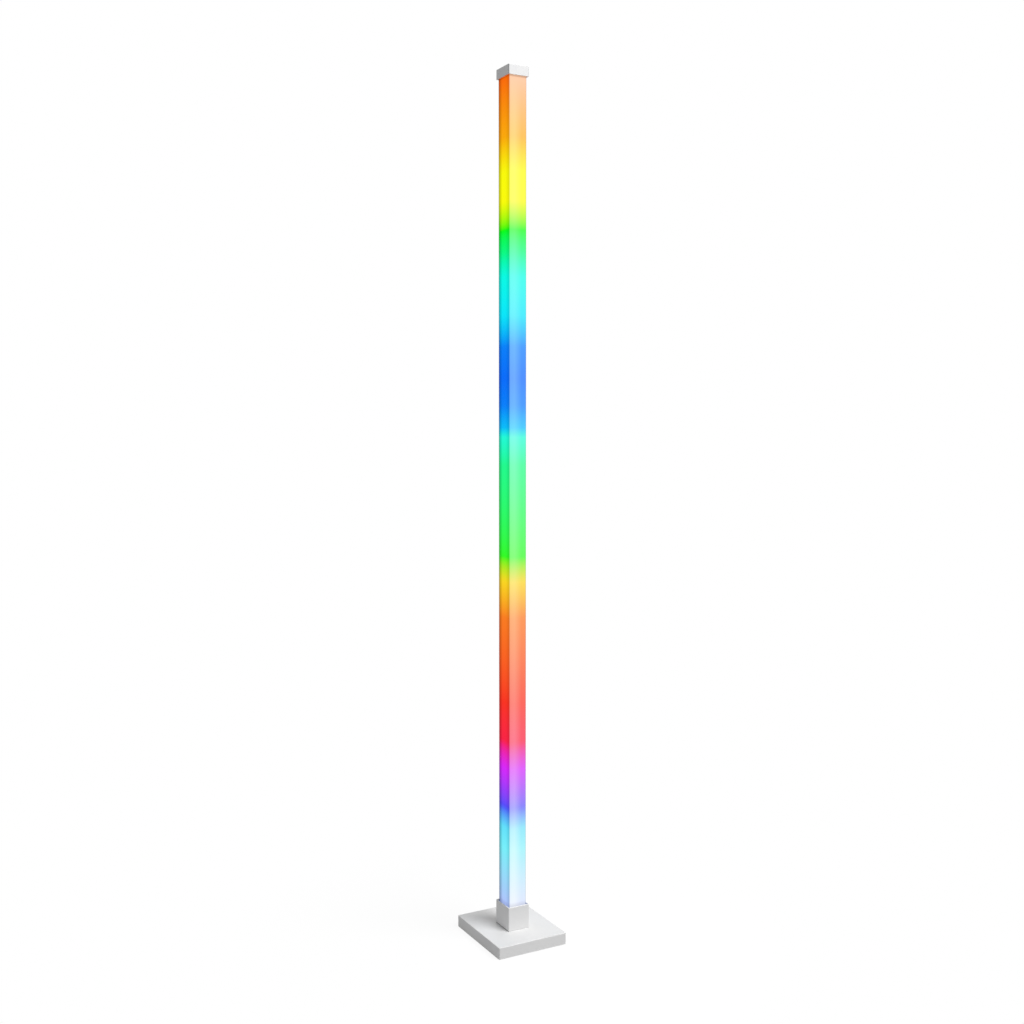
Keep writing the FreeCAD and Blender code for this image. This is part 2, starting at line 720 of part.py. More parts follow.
def make_back_channel():
    body = new_body("back_channel")
    flange = new_sketch(body, "XY_Plane", y="(pole_depth - channel_back) / 2", z="pole_low")
    add_rectangle(flange, "pole_width", "channel_back")
    pad(body, flange, "pole_length")
    dress(body, "Fillet", "channel_corner", is_upright_at("pole_width", "pole_depth"))
    lips = new_sketch(body, "XY_Plane", y="(channel_front + channel_bed) / 2", z="pole_low")
    add_rectangle(lips, "lip_width", "channel_bed - channel_front")
    pad(body, lips, "pole_length")
    bed = new_sketch(body, "XY_Plane", y="(channel_front + channel_bed) / 2", z="pole_low")
    add_rectangle(bed, "channel_inner_width", "channel_bed - channel_front")
    pocket(body, bed, "pole_length")
    ports = new_sketch(body, "XY_Plane", z="pole_low")
    add_port_pair(ports, "screw_port_diameter")
    pad(body, ports, "pole_length")
    bores = new_sketch(body, "XY_Plane", z="pole_low")
    add_port_pair(bores, "plug_screw_diameter + 2 * thread_gap")
    pocket(body, bores, "pole_length")
    for side in ("-", ""):
        groove = new_sketch(body, "XY_Plane", x=f"{side}lip_width / 2", y="barb_y", z="pole_low")
        add_rectangle(groove, "2 * barb_height", "barb_width + 2 * snap_gap")
        pocket(body, groove, "pole_length")
    screw_hole = new_sketch(body, "XZ_Plane", z="-pole_depth / 2")
    add_circle(screw_hole, "cap_screw_diameter + 2 * thread_gap", y="cap_screw_z", side_y=1)
    pocket(body, screw_hole, "channel_back")
    return node(body, "back_channel")


def make_diffuser():
    body = new_body("diffuser")
    outline = new_sketch(body, "XY_Plane", y="(diffuser_front + diffuser_back) / 2", z="pole_low")
    add_rectangle(outline, "pole_width", "diffuser_back - diffuser_front")
    pad(body, outline, "pole_length")
    dress(body, "Fillet", "pole_corner", is_upright_at("pole_width", "pole_depth"))
    inside_y = "(diffuser_front + diffuser_wall + channel_bed) / 2"
    inside = new_sketch(body, "XY_Plane", y=inside_y, z="pole_low")
    add_rectangle(inside, "diffuser_inner_width", "channel_bed - diffuser_front - diffuser_wall")
    pocket(body, inside, "pole_length")
    for side in ("-", ""):
        barb = new_sketch(body, "XY_Plane", x=f"{side}diffuser_inner_width / 2", y="barb_y", z="pole_low")
        add_rectangle(barb, "2 * barb_height", "barb_width")
        pad(body, barb, "pole_length")
    return node(body, "diffuser")


def make_end_plug(label, seat, up):
    """A plug with a flange against the column's end at the seat, and a hollow tongue inside the diffuser."""
    body = new_body(label)
    flange = new_sketch(body, "XY_Plane", z=seat)
    add_rectangle(flange, "pole_width", "pole_depth")
    pad(body, flange, "plug_flange", reverse=up)
    dress(body, "Fillet", "pole_corner", is_upright_at("pole_width", "pole_depth"))
    tongue = new_sketch(body, "XY_Plane", y="tongue_y", z=seat)
    add_rectangle(tongue, "tongue_width", "tongue_depth")
    add_rectangle(tongue, "tongue_width - 2 * plug_wall", "tongue_depth - 2 * plug_wall")
    pad(body, tongue, "plug_tongue", reverse=not up)
    notch = new_sketch(body, "XY_Plane", y="wire_hole_y", z=seat)
    add_rectangle(notch, "plug_notch_width", "plug_notch_depth")
    pocket(body, notch, "plug_flange", reverse=up)
    outer_face = f"{seat} - plug_flange" if up else f"{seat} + plug_flange"
    for diameter, depth in (("plug_screw_diameter + 2 * hole_gap", "plug_flange"),
                            ("plug_screw_head_diameter + 2 * hole_gap", "plug_counterbore")):
        holes = new_sketch(body, "XY_Plane", z=outer_face)
        add_port_pair(holes, diameter)
        pocket(body, holes, depth, reverse=not up)
    return node(body, label)


def make_end_plug_screws():
    body = new_body("end_plug_screws")
    for seat, up in (("pole_seat + plug_counterbore", True),
                     ("pole_high + plug_flange - plug_counterbore", False)):
        for diameter, length, reverse in (("plug_screw_head_diameter", "plug_screw_head_height", up),
                                          ("plug_screw_diameter", "plug_screw_length", not up)):
            circles = new_sketch(body, "XY_Plane", z=seat)
            add_port_pair(circles, diameter)
            pad(body, circles, length, reverse)
    return node(body, "end_plug_screws")


def make_led_strip():
    strip = block("led_strip", ("strip_width", "strip_thickness", "strip_high - strip_low"),
                  ("-strip_width / 2", "strip_front", "strip_low"))
    return node(strip, "led_strip")


def make_led_packages():
    body = new_body("led_packages")
    outline = new_sketch(body, "XZ_Plane", y="led_first", z="-strip_front")
    add_rectangle(outline, "led_size", "led_size")
    package = pad(body, outline, "led_height")
    lens = new_sketch(body, "XZ_Plane", y="led_first", z="-strip_front + led_height")
    add_circle(lens, "led_lens_diameter")
    dish = pocket(body, lens, "led_lens_depth", reverse=True)
    row = body.newObject("PartDesign::LinearPattern", "led_row")
    row.Originals = [package, dish]
    row.Direction = (next(item for item in body.Origin.OriginFeatures if item.Role == "Z_Axis"), [""])
    row.Mode = "Spacing"
    row.setExpression("Offset", expression("led_pitch"))
    row.setExpression("Occurrences", f"floor(({expression('strip_high - strip_low')}) / Sizes.led_pitch)")
    body.Tip = row
    doc.recompute()
    return node(body, "led_packages")


def make_top_cap():
    body = new_body("top_cap")
    outline = new_sketch(body, "XY_Plane", z="cap_low")
    add_rectangle(outline, "cap_width", "cap_depth")
    pad(body, outline, "cap_height")
    dress(body, "Fillet", "cap_corner", is_upright_at("cap_width", "cap_depth"))
    dress(body, "Fillet", "cap_edge", is_level_at("lamp_height"))
    hollow = new_sketch(body, "XY_Plane", z="cap_low")
    add_rectangle(hollow, "cap_inner_width", "cap_inner_depth")
    pocket(body, hollow, "cap_height - cap_top")
    screw_hole = new_sketch(body, "XZ_Plane", z="-cap_depth / 2")
    add_circle(screw_hole, "cap_screw_diameter + 2 * hole_gap", y="cap_screw_z", side_y=1)
    pocket(body, screw_hole, "cap_wall")
    return node(body, "top_cap")


def make_turned(label, x, z, steps):
    """A turned piece along Y; each step is its back face's place, its diameter and its length forwards."""
    body = new_body(label)
    for back, diameter, length in steps:
        circle = new_sketch(body, "XZ_Plane", x=x, y=z, z=f"-({back})")
        add_circle(circle, diameter)
        pad(body, circle, length)
    return body


def make_cap_screw():
    body = make_turned("cap_screw", "0", "cap_screw_z", (
        ("cap_depth / 2 + cap_screw_head_height", "cap_screw_head_diameter", "cap_screw_head_height"),
        ("cap_depth / 2", "cap_screw_diameter", "cap_screw_length")))
    socket = new_sketch(body, "XZ_Plane", y="cap_screw_z", z="-(cap_depth / 2 + cap_screw_head_height)")
    add_hexagon(socket, "screw_socket_diameter")
    pocket(body, socket, "screw_socket_depth")
    return node(body, "cap_screw")


# Inlet, button and controller

def make_dc_inlet():
    housing = block("inlet_housing", ("inlet_body_width", "inlet_body_length", "inlet_body_height"),
                    ("-inlet_x - inlet_body_width / 2", "inlet_body_back - inlet_body_length", "board_top"))
    barrel = rod("inlet_barrel", "inlet_barrel_diameter",
                 "inlet_face - inlet_body_back + inlet_bore_depth / 2",
                 ("-inlet_x", "inlet_body_back - inlet_bore_depth / 2", "inlet_z"), "+Y")
    bore = rod("inlet_bore", "inlet_bore_diameter", "inlet_bore_depth",
               ("-inlet_x", "inlet_bore_end", "inlet_z"), "+Y")
    return node(cut("inlet", fuse("inlet_body", housing, barrel), bore), "dc_inlet")


def make_dc_inlet_pin():
    pin = rod("inlet_pin", "inlet_pin_diameter", "inlet_bore_depth - inlet_pin_recess",
              ("-inlet_x", "inlet_bore_end", "inlet_z"), "+Y")
    return node(pin, "dc_inlet_pin")


def make_power_button():
    body = make_turned("power_button", "button_x", "inlet_z", (
        ("button_face", "button_diameter", "button_face - button_shoulder"),
        ("button_shoulder", "button_diameter + 2 * button_flange_lip", "button_flange_thickness"),
        ("button_stem_back", "button_stem_diameter", "button_stem_length")))
    face = number("button_face")
    dress(body, "Fillet", "button_round", lambda edge: abs(edge.BoundBox.YMin - face) < 1e-6)
    return node(body, "power_button")


def make_button_switch():
    housing = block("switch_housing", ("switch_width", "switch_face - switch_front", "switch_height"),
                    ("button_x - switch_width / 2", "switch_front", "board_top"))
    bore = rod("switch_bore", "plunger_diameter + 2 * plunger_gap", "switch_face - switch_bore_end",
               ("button_x", "switch_bore_end", "inlet_z"), "+Y")
    return node(cut("switch", housing, bore), "button_switch")


def make_switch_plunger():
    plunger = rod("plunger", "plunger_diameter", "plunger_back - plunger_front",
                  ("button_x", "plunger_front", "inlet_z"), "+Y")
    return node(plunger, "switch_plunger")


def make_controller_board():
    body = new_body("controller_board")
    outline = new_sketch(body, "XY_Plane", y="board_y", z="board_low")
    add_rectangle(outline, "board_width", "board_depth")
    add_grid(add_circle, outline, "board_screw_diameter + 2 * hole_gap",
             "board_hole_spacing_x", "board_hole_spacing_y")
    pad(body, outline, "board_thickness")
    return node(body, "controller_board")


def make_board_standoffs():
    return make_ring_grid(
        "board_standoffs", "standoff_diameter", "board_screw_diameter + 2 * thread_gap", "board_y",
        "board_hole_spacing_x", "board_hole_spacing_y", "plate_top", "standoff_height")


def make_board_screws():
    return make_screw_grid(
        "board_screws", "board_y", "board_hole_spacing_x", "board_hole_spacing_y", "board_top",
        heads=("board_screw_head_diameter", "board_screw_head_height"),
        shanks=("board_screw_diameter", "board_screw_length"),
        socket=("screw_socket_diameter", "screw_socket_depth"), down=True)


def make_control_chip():
    chip = block("chip", ("chip_size", "chip_size", "chip_height"),
                 ("chip_x - chip_size / 2", "chip_y - chip_size / 2", "board_top"))
    return node(chip, "control_chip")


def make_voltage_regulator():
    regulator = block("regulator", ("regulator_width", "regulator_depth", "regulator_height"),
                      ("regulator_x - regulator_width / 2", "regulator_y - regulator_depth / 2", "board_top"))
    return node(regulator, "voltage_regulator")


def make_filter_capacitor():
    body = new_body("filter_capacitor")
    can = new_sketch(body, "XY_Plane", x="board_width / 2 - capacitor_side_room", z="board_top")
    add_circle(can, "capacitor_diameter", y="capacitor_y", side_y=1)
    pad(body, can, "capacitor_height")
    dress(body, "Fillet", "capacitor_round", is_level_at("board_top + capacitor_height"))
    return node(body, "filter_capacitor")


def make_radio_module():
    board = block("radio_board", ("radio_width", "radio_depth", "radio_height"),
                  ("radio_x - radio_width / 2", "radio_y - radio_depth / 2", "board_top"))
    can = block("radio_can",
                ("radio_width - 2 * radio_can_margin",
                 "radio_depth - 2 * radio_can_margin",
                 "radio_can_height"),
                ("radio_x - radio_width / 2 + radio_can_margin",
                 "radio_y - radio_depth / 2 + radio_can_margin",
                 "board_top + radio_height"))
    return node(fuse("radio", board, can), "radio_module")


def make_output_connector():
    housing = block("connector_housing", ("connector_width", "connector_length", "connector_height"),
                    ("-connector_width / 2", "connector_front", "board_top"))
    cavity = block("connector_mouth", ("connector_inner_width", "connector_cavity", "connector_inner_height"),
                   ("-connector_inner_width / 2", "connector_front", "board_top + connector_wall"))
    return node(cut("connector", housing, cavity), "output_connector")


def make_harness_plug():
    plug = block("plug", ("harness_plug_width", "harness_plug_length", "harness_plug_height"),
                 ("-harness_plug_width / 2", "harness_plug_front",
                  "connector_axis - harness_plug_height / 2"))
    return node(plug, "harness_plug")


def rounded_path(points, radii):
    """Straight runs through the points, joined by tangent arcs of the given radii."""
    edges = []
    start = points[0]
    for before, corner, after, radius in zip(points, points[1:], points[2:], radii):
        back = (before - corner).normalize()
        ahead = (after - corner).normalize()
        half_angle = back.getAngle(ahead) / 2
        reach = radius / math.tan(half_angle)
        arc_start = corner + back * reach
        arc_end = corner + ahead * reach
        middle = corner + (back + ahead).normalize() * (radius / math.sin(half_angle) - radius)
        edges.append(Part.LineSegment(start, arc_start).toShape())
        edges.append(Part.Arc(arc_start, middle, arc_end).toShape())
        start = arc_end
    edges.append(Part.LineSegment(start, points[-1]).toShape())
    return Part.Wire(edges)


def make_pole_wires():
    """Three wires from the plug, up through the grommet and the plug's notch, to the foot of the strip."""
    route = [(number("harness_plug_front"), number("connector_axis")),
             (number("wire_hole_y"), number("connector_axis")),
             (number("wire_hole_y"), number("wire_lean_low")),
             (number("wire_strip_y"), number("strip_low")),
             (number("wire_strip_y"), number("wire_end"))]
    radii = [number("wire_bend"), number("wire_lean_bend"), number("wire_lean_bend")]
    wires = []
    for lane in (-1, 0, 1):
        x = lane * number("wire_spacing")
        path = rounded_path([Vector(x, y, z) for y, z in route], radii)
        section = Part.Circle(path.Vertexes[0].Point, Vector(0, -1, 0), number("wire_diameter") / 2)
        profile = Part.Wire(section.toShape())
        wires.append(path.makePipeShell([profile], True, False))
        print("wire", lane, "length", round(path.Length, 1), "volume error",
              round(wires[-1].Volume / (path.Length * math.pi * number("wire_diameter") ** 2 / 4) - 1, 5))
    feature = doc.addObject("Part::Feature", "pole_wires")
    feature.Shape = Part.makeCompound(wires)
    return node(feature, "pole_wires")


def check(feature):
    if {"Invalid", "Error"} & set(feature.State):
        raise RuntimeError(f"{feature.Label} failed: {feature.State}")


def write_parts():
    doc.recompute()
    for feature in doc.Objects:
        check(feature)
    os.makedirs("parts", exist_ok=True)
    for feature in NODES:
        if feature.Shape.isNull() or not feature.Shape.isValid():
            raise RuntimeError(f"{feature.Label} has no valid shape")
        feature.Shape.exportStep(f"parts/{feature.Label}.step")
        print(feature.Label, len(feature.Shape.Solids), round(feature.Shape.Volume, 1))


make_base_cover()
make_base_weight()
make_base_bottom_plate()
make_foot_pads()
make_bottom_plate_screws()
make_pole_collar()
make_collar_sleeve()
make_collar_set_screws()
make_collar_bolts()
make_collar_bolt_washers()
make_wire_grommet()
make_back_channel()
make_diffuser()
make_end_plug("end_plug_bottom", "pole_low", up=True)
make_end_plug("end_plug_top", "pole_high", up=False)
make_end_plug_screws()
make_led_strip()
make_led_packages()
make_top_cap()
make_cap_screw()
make_dc_inlet()
make_dc_inlet_pin()
make_power_button()
make_button_switch()
make_switch_plunger()
make_controller_board()
make_board_standoffs()
make_board_screws()
make_control_chip()
make_voltage_regulator()
make_filter_capacitor()
make_radio_module()
make_output_connector()
make_harness_plug()
make_pole_wires()
write_parts()
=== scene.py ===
"""Looks of the corner floor lamp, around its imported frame. Metres, +Z up, -Y front, +X the lamp's right.

Every shape of the lamp is the frame's own. The materials work in millimetres of the object's coordinates.
"""

import bpy
import colorsys
import math
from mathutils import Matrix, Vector


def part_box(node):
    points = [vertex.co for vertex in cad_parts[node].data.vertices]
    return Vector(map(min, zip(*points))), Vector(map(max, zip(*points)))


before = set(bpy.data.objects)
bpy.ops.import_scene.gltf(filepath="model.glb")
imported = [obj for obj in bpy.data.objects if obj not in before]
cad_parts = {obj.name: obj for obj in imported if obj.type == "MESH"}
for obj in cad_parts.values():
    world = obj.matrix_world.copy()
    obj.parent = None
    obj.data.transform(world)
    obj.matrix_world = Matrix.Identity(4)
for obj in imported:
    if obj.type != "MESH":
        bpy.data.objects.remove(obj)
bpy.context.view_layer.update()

MM = 0.001
WHITE = (1.0, 1.0, 1.0, 1.0)


# Places on the lamp in mm, worked out from the frame's boxes, which are in metres

DIFFUSER_LOW, DIFFUSER_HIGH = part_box("diffuser")
POLE_HALF_WIDTH = DIFFUSER_HIGH[0] / MM
POLE_FRONT = DIFFUSER_LOW[1] / MM
SEAM_Y = DIFFUSER_HIGH[1] / MM
CAP_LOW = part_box("top_cap")[0][2] / MM
COLLAR_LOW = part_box("pole_collar")[0][2] / MM
COLLAR_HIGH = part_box("pole_collar")[1][2] / MM

# The light packages: two sizes in mm that the boxes don't give, and the middle of the lowest one
LED_HALF_SIZE = 2.5
LED_PITCH = 33.3
LOWEST_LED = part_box("led_packages")[0][2] / MM + LED_HALF_SIZE


# Node helpers

class Nodes:
    """The node tree of a material or of the world, whose nodes are added one call at a time."""

    def __init__(self, owner):
        self.owner = owner
        owner.use_nodes = True
        self.tree = owner.node_tree
        self.tree.nodes.clear()

    def add(self, kind, inputs=(), **settings):
        """A node; inputs maps a socket's name or number to a plain value or to another node's output."""
        made = self.tree.nodes.new("ShaderNode" + kind)
        for key, value in settings.items():
            setattr(made, key, value)
        for key, value in dict(inputs).items():
            if isinstance(value, bpy.types.NodeSocket):
                self.tree.links.new(value, made.inputs[key])
            else:
                made.inputs[key].default_value = value
        return made

    def math(self, operation, *values):
        return self.add("Math", dict(enumerate(values)), operation=operation).outputs[0]

    def length(self, first, second):
        """The length of the hypotenuse over two sides."""
        squares = [self.math("MULTIPLY", side, side) for side in (first, second)]
        return self.math("SQRT", self.math("ADD", *squares))

    def spread(self, value, low, high, to_low=0.0, to_high=1.0):
        """The value from low..high brought to to_low..to_high, and held there beyond."""
        inputs = {"Value": value, "From Min": low, "From Max": high, "To Min": to_low, "To Max": to_high}
        return self.add("MapRange", inputs).outputs["Result"]

    def scale(self, vector, factor):
        return self.add("VectorMath", {0: vector, "Scale": factor}, operation="SCALE").outputs[0]

    def stretch(self, vector, factors):
        return self.add("VectorMath", {0: vector, 1: factors}, operation="MULTIPLY").outputs[0]

    def split(self, vector):
        """The vector's three parts."""
        return self.add("SeparateXYZ", {0: vector}).outputs

    def place(self):
        """The object's own coordinates in millimetres."""
        return self.scale(self.add("TexCoord").outputs["Object"], 1 / MM)

    def facing(self):
        """The three parts of the surface's normal, in the object's own axes."""
        return self.split(self.add("TexCoord").outputs["Normal"])

    def noise(self, scale, detail=3.0, roughness=0.5, factors=None):
        """Noise in cycles per millimetre, drawn out along the axes whose factor is small."""
        place = self.stretch(self.place(), factors) if factors else self.place()
        inputs = {"Vector": place, "Scale": scale, "Detail": detail, "Roughness": roughness}
        return self.add("TexNoise", inputs).outputs["Fac"]

    def mix(self, share, first, second):
        """The first colour where the share is 0, the second where it is 1."""
        return self.add("Mix", {0: share, 6: first, 7: second}, data_type="RGBA").outputs[2]

    def ramp(self, share, stops):
        """A colour along a run of stops, each a place from 0 to 1 and a colour."""
        made = self.add("ValToRGB", {0: share})
        elements = made.color_ramp.elements
        for number, (place, colour) in enumerate(stops):
            element = elements[number] if number < 2 else elements.new(place)
            element.position = place
            element.color = colour
        return made.outputs[0]

    def bump(self, height, depth_mm):
        return self.add("Bump", {"Height": height, "Distance": depth_mm * MM}).outputs["Normal"]

    def shown_directly(self):
        """1 for rays from the camera, a reflection or a transmission, 0 for light that falls on things."""
        rays = self.add("LightPath").outputs
        mirrored = self.math("MAXIMUM", rays["Is Glossy Ray"], rays["Is Transmission Ray"])
        return self.math("MAXIMUM", rays["Is Camera Ray"], mirrored)

    def mix_shaders(self, share, first, second):
        return self.add("MixShader", {0: share, 1: first, 2: second}).outputs[0]

    def close(self, shader, output="OutputMaterial"):
        self.add(output, {0: shader})
        return self.owner

    def finish(self, **inputs):
        """Closes a material with a Principled shader; its inputs' names have underscores for spaces."""
        named = {key.replace("_", " "): value for key, value in inputs.items()}
        return self.close(self.add("BsdfPrincipled", named).outputs[0])


def new_material(name):
    return Nodes(bpy.data.materials.new(name))


def grey(level, tint=(1.0, 1.0, 1.0)):
    return (level * tint[0], level * tint[1], level * tint[2], 1.0)


def from_screen(*channels):
    """The linear colour of one that is given as it looks on a screen, 0 to 1."""
    return tuple(c / 12.92 if c <= 0.04045 else ((c + 0.055) / 1.055) ** 2.4 for c in channels) + (1.0,)


# Paint, plastic, rubber and metal

# Painted shade: the dim line over the joint of collar and base, where shade falls: its two heights in mm over
# the base, and how much of the colour stays in it on the left side and on the others
CREVICE_SHADE_HEIGHTS = (0.8, 2.0)
CREVICE_SHADE_LEFT = 0.36
CREVICE_SHADE_ELSEWHERE = 0.85


def painted_steel(name, level, foot=None):
    """Semi-gloss white powder coat: fine orange peel, slight unevenness of tone and gloss.

    Where a foot's height in mm is given, shade is painted into the crevice just above it, most on the left.
    """
    s = new_material(name)
    tone = s.spread(s.noise(0.02, 4.0), 0.35, 0.65)
    colour = s.mix(tone, grey(level * 0.985, (1, 1, 1.003)), grey(level, (1, 0.998, 0.995)))
    if foot is not None:
        # Painted shade in the crevice just above the foot, darkest on the left side
        height = s.split(s.place())[2]
        crevice_shade = s.spread(s.facing()[0], -0.8, -0.2, CREVICE_SHADE_LEFT, CREVICE_SHADE_ELSEWHERE)
        colour = s.scale(colour, s.spread(height, foot + CREVICE_SHADE_HEIGHTS[0], foot + CREVICE_SHADE_HEIGHTS[1], crevice_shade, 1.0))
    gloss = s.spread(s.noise(0.06, 5.0), 0.3, 0.7, 0.36, 0.46)
    orange_peel = s.bump(s.noise(0.9, 2.0, 0.4), 0.012)
    return s.finish(Base_Color=colour, Roughness=gloss, Specular_IOR_Level=0.42, Normal=orange_peel)


def moulded_plastic(name, first, second, gloss=(0.35, 0.45), grain=0.01, corner=1.0):
    """Injection-moulded plastic: a faint cloudiness and a fine spark-eroded grain.

    Corner is how much of the colour stays on the rounded upright corners, which carry painted shade.
    """
    s = new_material(name)
    colour = s.mix(s.spread(s.noise(0.05), 0.35, 0.65), first, second)
    # Painted shade on the rounded upright corners
    if corner < 1.0:
        across, along, _ = s.facing()
        slant = s.math("ABSOLUTE", s.math("MULTIPLY", across, along))
        colour = s.scale(colour, s.spread(slant, 0.05, 0.3, 1.0, corner))
    shine = s.spread(s.noise(0.3, 4.0), 0.3, 0.7, *gloss)
    return s.finish(Base_Color=colour, Roughness=shine, Specular_IOR_Level=0.45,
                    Normal=s.bump(s.noise(2.5, 2.0), grain))


def brushed_metal(name, first, second, factors=(1.0, 1.0, 1.0), gloss=(0.28, 0.42), scale=1.2):
    """Metal with fine lines along the axis whose factor is small."""
    s = new_material(name)
    lines = s.noise(scale, 4.0, 0.6, factors)
    colour = s.mix(s.spread(lines, 0.3, 0.7), first, second)
    shine = s.spread(lines, 0.3, 0.7, *gloss)
    return s.finish(Base_Color=colour, Metallic=1.0, Roughness=shine, Normal=s.bump(lines, 0.01))


def cast_iron(name):
    """Dark iron with the grain of the sand it was cast in."""
    s = new_material(name)
    sand = s.noise(0.8, 6.0, 0.7)
    colour = s.mix(s.spread(sand, 0.3, 0.7), grey(0.035), grey(0.09, (1, 0.97, 0.94)))
    return s.finish(Base_Color=colour, Metallic=0.6, Roughness=0.75, Normal=s.bump(sand, 0.25))


def rubber(name, level):
    """Dull rubber with a little dust."""
    s = new_material(name)
    dust = s.spread(s.noise(0.5, 5.0, 0.65), 0.45, 0.75)
    return s.finish(Base_Color=s.mix(dust, grey(level), grey(level * 2.2)), Roughness=0.85,
                    Specular_IOR_Level=0.25, Normal=s.bump(s.noise(3.0), 0.03))


# Electronics: sizes in mm, and colours, of which a pair is the two ends of a slight variation

PAD_HALF_LENGTH = 1.3
PAD_HALF_WIDTH = 0.8
PAD_STEP = 3.0
PADS_HALF_SPAN = 4.0
WINDOW_RADIUS = 1.95
PRINT_EDGE = 0.1
MASK = (0.012, 0.12, 0.04, 1.0)
MASK_ON_WEAVE = (0.02, 0.16, 0.055, 1.0)
MASK_ON_COPPER = (0.06, 0.28, 0.09, 1.0)
PHOSPHOR = ((0.80, 0.62, 0.14, 1.0), (0.86, 0.70, 0.22, 1.0))
BARE_COPPER = ((0.70, 0.45, 0.24, 1.0), (0.78, 0.56, 0.34, 1.0))


def circuit_board(name):
    """Green solder mask, paler over the copper runs, with the fibre weave showing faintly."""
    s = new_material(name)
    place = s.place()
    weave = s.add("TexBrick", {"Vector": place, "Scale": 0.5, "Mortar Size": 0.06,
                               "Color1": grey(0.0), "Color2": grey(0.3), "Mortar": WHITE}).outputs["Fac"]
    mask = s.mix(s.spread(weave, 0.0, 1.0, 0.0, 0.6), MASK, MASK_ON_WEAVE)
    stepped = s.add("VectorMath", {0: place, 1: (0.5, 0.5, 0.5)}, operation="SNAP").outputs[0]
    runs = s.stretch(stepped, (0.08, 0.5, 1.0))
    copper = s.add("TexNoise", {"Vector": runs, "Scale": 1.0, "Detail": 1.0}).outputs["Fac"]
    raised = s.spread(copper, 0.53, 0.54)
    return s.finish(Base_Color=s.mix(raised, mask, MASK_ON_COPPER), Roughness=0.3,
                    Normal=s.bump(raised, 0.035))


def above_nearest(s, height, start):
    """The height above the nearest of the points that follow each other by the light packages' pitch."""
    return s.math("WRAP", s.math("SUBTRACT", height, start), LED_PITCH / 2, -LED_PITCH / 2)


def light_packages(name):
    """White resin with a round yellow phosphor window in the middle of each package."""
    s = new_material(name)
    x, _, z = s.split(s.place())
    radius = s.length(x, above_nearest(s, z, LOWEST_LED))
    window = s.spread(radius, WINDOW_RADIUS, WINDOW_RADIUS + PRINT_EDGE, 1.0, 0.0)
    phosphor = s.mix(s.noise(1.5), *PHOSPHOR)
    resin = s.mix(s.noise(0.5), grey(0.72), grey(0.78, (1.0, 1.0, 0.98)))
    return s.finish(Base_Color=s.mix(window, resin, phosphor), Roughness=0.3,
                    Normal=s.bump(s.noise(2.5), 0.01))


def printed_strip(name):
    """White solder mask with three copper pads at each cut line, half-way between the packages."""
    s = new_material(name)
    x, _, z = s.split(s.place())
    along = s.math("ABSOLUTE", above_nearest(s, z, LOWEST_LED + LED_PITCH / 2))
    across = s.math("ABSOLUTE", s.math("WRAP", x, PAD_STEP / 2, -PAD_STEP / 2))
    length = s.spread(along, PAD_HALF_LENGTH, PAD_HALF_LENGTH + PRINT_EDGE, 1.0, 0.0)
    width = s.spread(across, PAD_HALF_WIDTH, PAD_HALF_WIDTH + PRINT_EDGE, 1.0, 0.0)
    inside = s.math("LESS_THAN", s.math("ABSOLUTE", x), PADS_HALF_SPAN)
    pad = s.math("MULTIPLY", s.math("MULTIPLY", length, width), inside)
    mask = s.mix(s.noise(0.05), grey(0.78), grey(0.82))
    copper = s.mix(s.noise(1.0), *BARE_COPPER)
    return s.finish(Base_Color=s.mix(pad, mask, copper), Metallic=pad, Roughness=0.35,
                    Normal=s.bump(pad, 0.03))


# The glow, from the top down: a rainbow from orange to blue, back to red, and on through magenta to a bluish
# white. Its plain hues were placed one by one. Each row is a height in mm and the hue there in degrees.
GLOW = (
    (1400, 25),    # orange
    (1310, 40),
    (1255, 60),    # yellow
    (1210, 60),
    (1165, 120),   # green
    (1130, 150),
    (1090, 175),   # turquoise
    (1030, 185),
    (980, 210),    # blue
    (930, 215),
    (885, 210),
    (850, 195),
    (835, 170),    # turquoise
    (790, 150),    # green
    (640, 115),
    (600, 50),     # yellow
    (540, 25),     # orange
    (400, 5),      # red
    (335, 350),
    (290, 290),    # magenta
    (255, 270),    # violet
    (225, 240),
    (190, 190),    # pale turquoise
    (155, 185),
    (60, 225),     # bluish white
)
GLOW_HIGH = GLOW[0][0]
GLOW_LOW = GLOW[-1][0]
GLOW_BRIGHTNESS = 0.96

# How strong the hues are on the shaded sides: from the blue up, which begins at a height in mm, below it,
# and at the lower end, towards which they pale from another height
FULL_STRENGTH = 0.98
FULL_HEIGHT = 850
MIDDLE_STRENGTH = 0.87
LOW_STRENGTH = 0.3
PALING_HEIGHT = 300

# How far painted light washes the lit front towards white: in the middle, at the lower end and at the top,
# towards which it pales from a height in mm
PALENESS = 0.42
LOW_PALENESS = 0.8
HIGH_PALENESS = 0.65
PALE_TOP_HEIGHT = 1270

# How much of that painted light shows across the front, at places from its left edge, 0, to its right edge,
# 1; and the heights in mm from which it spreads over the whole front towards the column's ends, and how far
FRONT_WASH = ((0.0, 0.9), (0.3, 1.0), (0.7, 0.5))
TOP_WASH_FROM = 1300.0
TOP_WASH = 0.95
LOW_WASH_FROM = 170.0
LOW_WASH_TO = 90.0
LOW_WASH = 0.45

# Painted shade, where the glow dims: distances in mm from the seam, corner, collar and cap, and how much of
# it is left there
SEAM_SHADE = 11.0
SEAM_GAIN = 0.42
CORNER_SHADE = (0.5, 12.0)
CORNER_GAIN = 0.74
COLLAR_SHADE = 7.0
COLLAR_GAIN = 0.80
CAP_SHADE = (1.8, 3.2)
CAP_GAIN = 0.74
FRONT_GAIN = 0.95
RIGHT_CORNER_GAIN = 0.6

# How far the normal points forward where the shaded side's look turns into the lit front's, and how far it
# points to the right where painted shade dims the front into its right corner
TURN_TO_FRONT = (0.35, 0.9)
TURN_TO_RIGHT = (0.15, 0.6)

